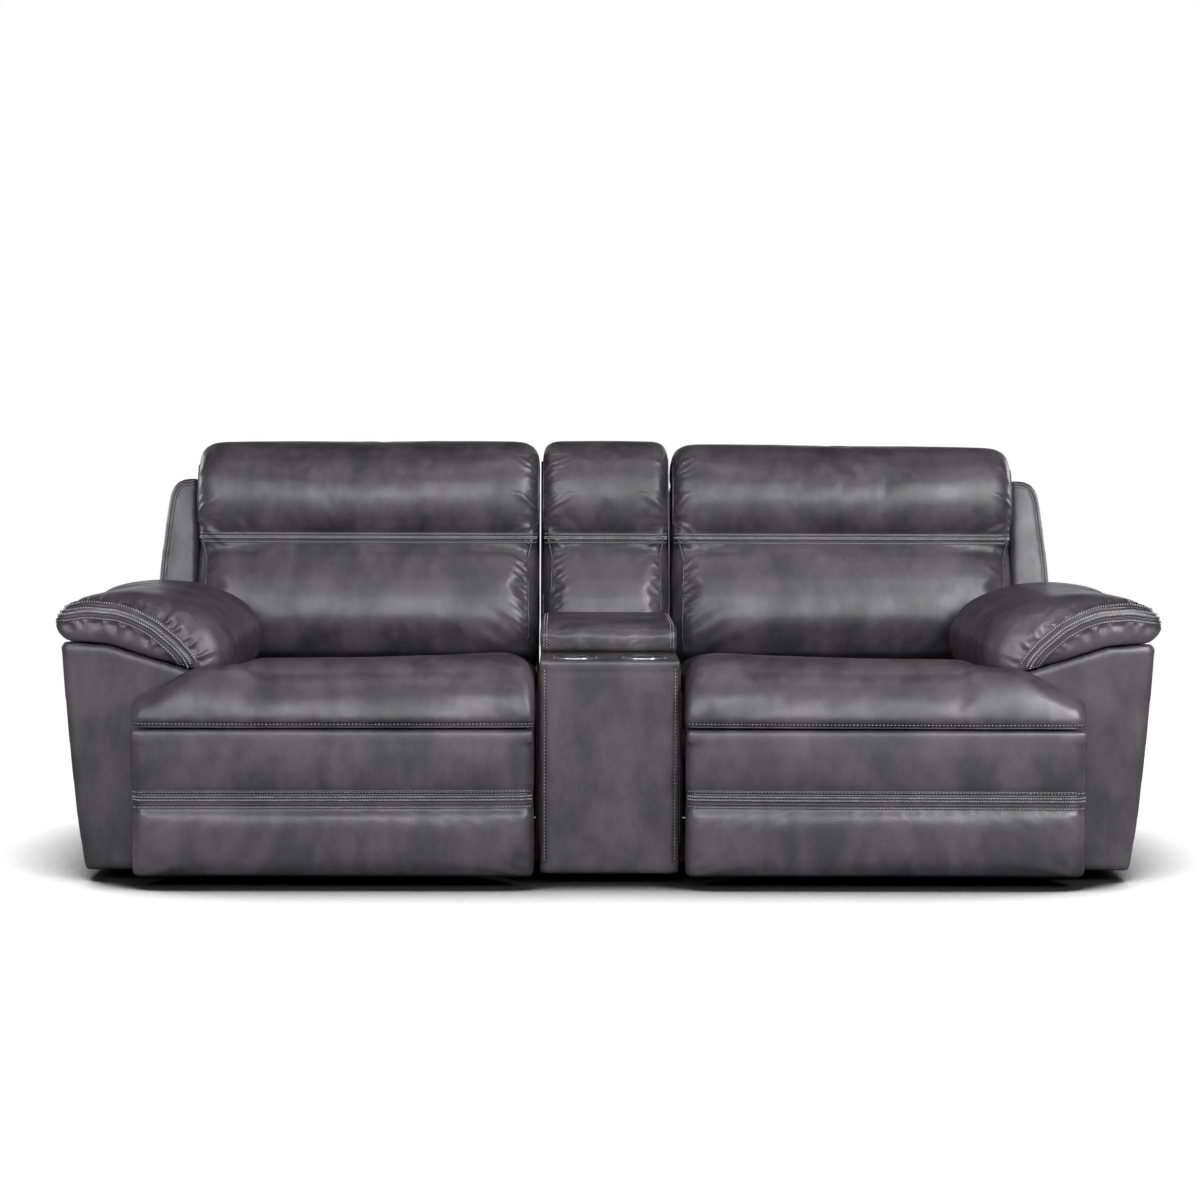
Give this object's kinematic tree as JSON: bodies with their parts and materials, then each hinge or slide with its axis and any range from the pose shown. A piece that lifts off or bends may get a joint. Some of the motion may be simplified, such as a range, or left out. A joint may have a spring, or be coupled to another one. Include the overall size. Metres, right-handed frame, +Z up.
{
  "type": "reclining console loveseat",
  "caption": "Two-seat reclining loveseat in dark grey leather with padded arms, swing-out footrests and a fixed centre console with cup holders and a storage lid.",
  "frame": {"origin": "centre of the footprint on the floor, below the middle of the overall box", "axes": "+Z up, +X to the right seen from the front, the front faces -Y"},
  "size_m": [2.248, 0.98, 0.8999],
  "materials": {
    "upholstery": "soft, slightly waxy dark grey leather with a cloudy mottle",
    "hardwood": "sawn plywood and hardwood",
    "mechanism_steel": "black powder coat",
    "cup_metal": "polished",
    "black_plastic": "fine texture"
  },
  "bodies": {
    "root": {"base_rails": "hardwood", "rear_panel": "upholstery", "glides": "black_plastic", "mechanism_rails": "mechanism_steel", "arm_frames": "hardwood", "arm_cover_left": "upholstery", "arm_cover_right": "upholstery", "arm_pad_left": "upholstery", "arm_pad_right": "upholstery", "release_bezels": "black_plastic", "release_cables": "black_plastic", "console_box": "hardwood", "console_front_pad": "upholstery", "console_deck": "upholstery", "cup_holders": "cup_metal", "storage_liner": "black_plastic", "lid_hinge": "mechanism_steel", "console_back_frame": "hardwood", "console_back_cover": "upholstery", "console_lumbar": "upholstery", "console_head_pillow": "upholstery"},
    "left_seat": {"side_plates_left": "mechanism_steel", "cross_rails_left": "mechanism_steel", "seat_springs_left": "mechanism_steel", "seat_cushion_left": "upholstery"},
    "left_back": {"back_brackets_left": "mechanism_steel", "back_posts_left": "hardwood", "back_rails_left": "hardwood", "back_springs_left": "mechanism_steel", "back_cover_left": "upholstery", "lumbar_cushion_left": "upholstery", "head_pillow_left": "upholstery"},
    "left_links": {"rear_links_left": "mechanism_steel"},
    "left_control": {"control_links_left": "mechanism_steel"},
    "left_carrier": {"foot_carrier_left": "mechanism_steel"},
    "left_foot": {"foot_brackets_left": "mechanism_steel", "foot_board_left": "hardwood", "foot_pad_left": "upholstery"},
    "left_handle": {"release_handle_left": "black_plastic"},
    "right_seat": {"side_plates_right": "mechanism_steel", "cross_rails_right": "mechanism_steel", "seat_springs_right": "mechanism_steel", "seat_cushion_right": "upholstery"},
    "right_back": {"back_brackets_right": "mechanism_steel", "back_posts_right": "hardwood", "back_rails_right": "hardwood", "back_springs_right": "mechanism_steel", "back_cover_right": "upholstery", "lumbar_cushion_right": "upholstery", "head_pillow_right": "upholstery"},
    "right_links": {"rear_links_right": "mechanism_steel"},
    "right_control": {"control_links_right": "mechanism_steel"},
    "right_carrier": {"foot_carrier_right": "mechanism_steel"},
    "right_foot": {"foot_brackets_right": "mechanism_steel", "foot_board_right": "hardwood", "foot_pad_right": "upholstery"},
    "right_handle": {"release_handle_right": "black_plastic"},
    "lid": {"lid_board": "hardwood", "lid_pad": "upholstery"}
  },
  "joints": [
    {"name": "left_seat_slide", "type": "slide", "parent": "root", "child": "left_seat", "axis": [0, -1, 0], "range_m": [0, 0.08]},
    {"name": "left_recline", "type": "hinge", "parent": "left_seat", "child": "left_back", "pos_m": [-0.458, 0.26, 0.3], "axis": [-1, 0, 0], "range_deg": [0, 36]},
    {"name": "left_footrest", "type": "hinge", "parent": "left_seat", "child": "left_links", "pos_m": [-0.458, -0.31, 0.272], "axis": [-1, 0, 0], "range_deg": [0, 115]},
    {"name": "left_control_swing", "type": "hinge", "parent": "left_seat", "child": "left_control", "pos_m": [-0.458, -0.26, 0.276], "axis": [-1, 0, 0], "range_deg": [0, 115]},
    {"name": "left_carrier_level", "type": "hinge", "parent": "left_links", "child": "left_carrier", "pos_m": [-0.458, -0.2275, 0.12911], "axis": [-1, 0, 0], "range_deg": [-115, 0]},
    {"name": "left_foot_tilt", "type": "hinge", "parent": "left_carrier", "child": "left_foot", "pos_m": [-0.458, -0.405, 0.205], "axis": [-1, 0, 0], "range_deg": [0, 90]},
    {"name": "left_release", "type": "hinge", "parent": "root", "child": "left_handle", "pos_m": [-1.09309, -0.2, 0.32264], "axis": [0, 1, 0], "range_deg": [0, 32], "stiffness_Nm_per_rad": 0.6, "springref_deg": -20.05},
    {"name": "right_seat_slide", "type": "slide", "parent": "root", "child": "right_seat", "axis": [0, -1, 0], "range_m": [0, 0.08]},
    {"name": "right_recline", "type": "hinge", "parent": "right_seat", "child": "right_back", "pos_m": [0.458, 0.26, 0.3], "axis": [-1, 0, 0], "range_deg": [0, 36]},
    {"name": "right_footrest", "type": "hinge", "parent": "right_seat", "child": "right_links", "pos_m": [0.458, -0.31, 0.272], "axis": [-1, 0, 0], "range_deg": [0, 115]},
    {"name": "right_control_swing", "type": "hinge", "parent": "right_seat", "child": "right_control", "pos_m": [0.458, -0.26, 0.276], "axis": [-1, 0, 0], "range_deg": [0, 115]},
    {"name": "right_carrier_level", "type": "hinge", "parent": "right_links", "child": "right_carrier", "pos_m": [0.458, -0.2275, 0.12911], "axis": [-1, 0, 0], "range_deg": [-115, 0]},
    {"name": "right_foot_tilt", "type": "hinge", "parent": "right_carrier", "child": "right_foot", "pos_m": [0.458, -0.405, 0.205], "axis": [-1, 0, 0], "range_deg": [0, 90]},
    {"name": "right_release", "type": "hinge", "parent": "root", "child": "right_handle", "pos_m": [1.09309, -0.2, 0.32264], "axis": [0, -1, 0], "range_deg": [0, 32], "stiffness_Nm_per_rad": 0.6, "springref_deg": -20.05},
    {"name": "console_lid", "type": "hinge", "parent": "root", "child": "lid", "pos_m": [0, 0.101, 0.4895], "axis": [-1, 0, 0], "range_deg": [0, 97]}
  ],
  "couplings": [
    {"joint": "left_seat_slide", "follows": "left_recline", "m_per_rad": 0.12732},
    {"joint": "left_control_swing", "follows": "left_footrest", "ratio": 1},
    {"joint": "left_carrier_level", "follows": "left_footrest", "ratio": -1},
    {"joint": "left_foot_tilt", "follows": "left_footrest", "ratio": 0.7826},
    {"joint": "right_seat_slide", "follows": "right_recline", "m_per_rad": 0.12732},
    {"joint": "right_control_swing", "follows": "right_footrest", "ratio": 1},
    {"joint": "right_carrier_level", "follows": "right_footrest", "ratio": -1},
    {"joint": "right_foot_tilt", "follows": "right_footrest", "ratio": 0.7826}
  ]
}
